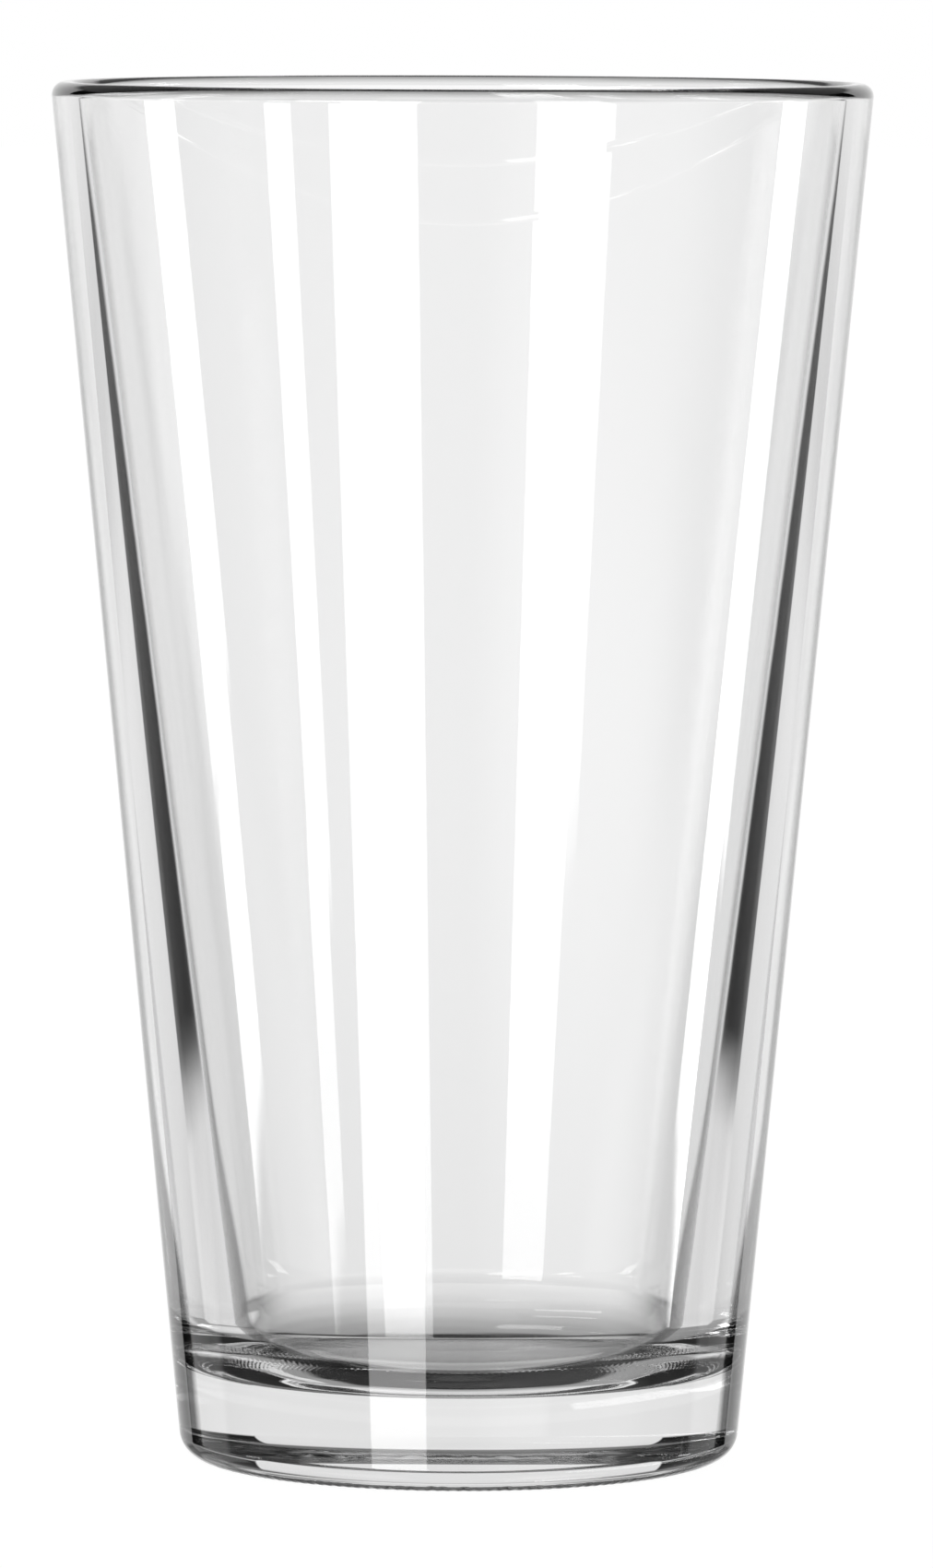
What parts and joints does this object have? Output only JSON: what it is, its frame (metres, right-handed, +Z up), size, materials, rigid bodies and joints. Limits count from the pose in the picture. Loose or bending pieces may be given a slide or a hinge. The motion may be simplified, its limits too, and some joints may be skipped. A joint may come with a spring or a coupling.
{
  "type": "mixing glass",
  "caption": "Clear tapered bar mixing glass with a rounded lip, thick walls and a heavy solid base, for stirring or shaking drinks.",
  "frame": {"origin": "centre of the base, on the surface that the glass stands on", "axes": "+Z up along the glass's axis, towards the mouth; X and Y are any two level directions, because the glass is round"},
  "size_m": [0.0886, 0.0886, 0.1492],
  "materials": {
    "clear_glass": "clear soda-lime glass, fire-polished and glossy"
  },
  "bodies": {
    "root": {"glass_body": "clear_glass"}
  },
  "joints": []
}
